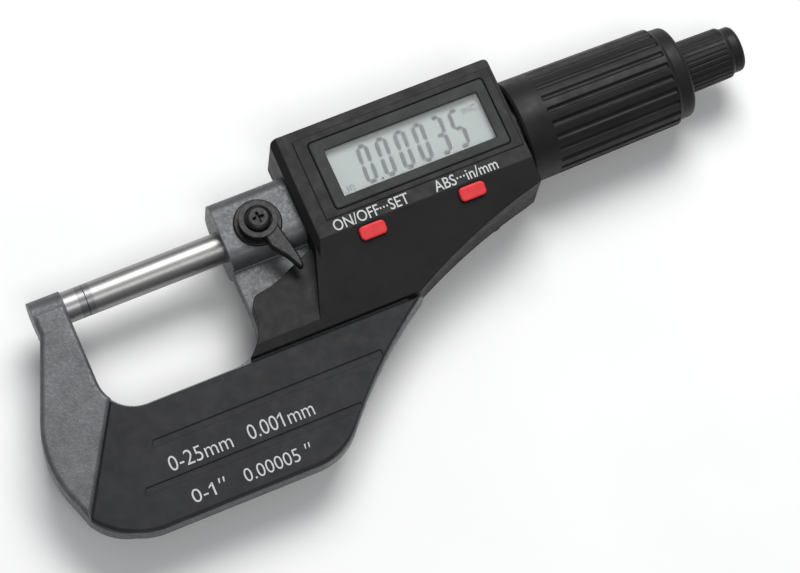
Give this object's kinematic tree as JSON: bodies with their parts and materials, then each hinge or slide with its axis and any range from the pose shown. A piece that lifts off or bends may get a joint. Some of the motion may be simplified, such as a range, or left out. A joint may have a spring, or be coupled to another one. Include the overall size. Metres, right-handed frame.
{
  "type": "outside micrometer",
  "caption": "Digital outside micrometer, 0 to 25 mm: C frame with anvil, spindle, lock lever, display housing with two buttons, ribbed thimble and ratchet stop.",
  "frame": {"origin": "centre of the anvil's measuring face, on the spindle axis", "axes": "+X along the spindle from the anvil to the ratchet, +Y from the frame's bow to the spindle, +Z out of the display"},
  "size_m": [0.1648, 0.0642, 0.0222],
  "materials": {
    "frame_paint": "hammered satin",
    "steel": "ground",
    "carbide": "lapped",
    "plate_black": "fine grain",
    "housing_black": "fine grain",
    "bezel_black": "fine grain",
    "grip_black": "satin",
    "window_clear": "clear",
    "lcd_glass": "reflective",
    "rubber_black": "matt",
    "button_red": "satin",
    "board_green": "solder mask",
    "brass": "machined",
    "aluminium": "machined",
    "black_steel": "blackened",
    "nickel": "plated"
  },
  "bodies": {
    "frame": {"frame": "frame_paint", "anvil": "steel", "anvil_tip": "carbide", "front_grip_plate": "plate_black", "rear_grip_plate": "plate_black", "housing_front": "housing_black", "housing_rear": "housing_black", "housing_screws": "black_steel", "display_bezel": "bezel_black", "display_window": "window_clear", "lcd_panel": "lcd_glass", "display_connectors": "rubber_black", "main_board": "board_green", "board_screws": "black_steel", "key_domes": "nickel", "key_board": "board_green", "encoder_stator": "board_green", "rotor_retainer": "steel", "battery": "nickel", "battery_holder": "housing_black", "contact_negative": "nickel", "contact_positive": "nickel", "sleeve": "steel", "adjusting_nut": "steel", "sleeve_set_screw": "black_steel", "lock_seat": "black_steel"},
    "encoder": {"encoder_rotor": "board_green", "rotor_bush": "brass", "rotor_key": "steel"},
    "spindle": {"spindle": "steel", "spindle_tip": "carbide", "thimble_core": "aluminium", "thimble_grip": "grip_black", "ratchet_base": "steel", "ratchet_screw": "steel"},
    "ratchet": {"ratchet_knob": "grip_black", "ratchet_cap": "grip_black", "ratchet_spring": "steel"},
    "pawl": {"ratchet_pawl": "brass"},
    "lock": {"lock_lever": "black_steel", "lock_stud": "steel", "lock_screw": "black_steel", "lock_plug": "brass"},
    "set_button": {"button_set": "button_red"},
    "mode_button": {"button_mode": "button_red"},
    "battery_door": {"battery_cover": "housing_black", "battery_seal": "rubber_black"}
  },
  "joints": [
    {"name": "thimble_turn", "type": "hinge", "parent": "frame", "child": "encoder", "pos_m": [0, 0, 0], "axis": [1, 0, 0], "range_deg": [0, 18000]},
    {"name": "spindle_feed", "type": "slide", "parent": "encoder", "child": "spindle", "axis": [1, 0, 0], "range_m": [0, 0.025]},
    {"name": "ratchet_turn", "type": "hinge", "parent": "spindle", "child": "ratchet", "pos_m": [0.1318, 0, 0], "axis": [1, 0, 0], "continuous": true},
    {"name": "pawl_click", "type": "slide", "parent": "ratchet", "child": "pawl", "axis": [1, 0, 0], "range_m": [0, 0.00015], "stiffness_N_per_m": 800},
    {"name": "lock_turn", "type": "hinge", "parent": "frame", "child": "lock", "pos_m": [0.0372, 0, 0], "axis": [0, 0, 1], "range_deg": [-35, 10]},
    {"name": "set_press", "type": "slide", "parent": "frame", "child": "set_button", "axis": [0, 0.3375, -0.9413], "range_m": [0, 0.0003], "stiffness_N_per_m": 600},
    {"name": "mode_press", "type": "slide", "parent": "frame", "child": "mode_button", "axis": [0, 0.3375, -0.9413], "range_m": [0, 0.0003], "stiffness_N_per_m": 600},
    {"name": "battery_door_turn", "type": "hinge", "parent": "frame", "child": "battery_door", "pos_m": [0.0644, -0.0045, -0.0112], "axis": [0, 0, 1], "range_deg": [0, 60]}
  ],
  "couplings": [
    {"joint": "thimble_turn", "follows": "spindle_feed", "rad_per_m": 12566}
  ]
}
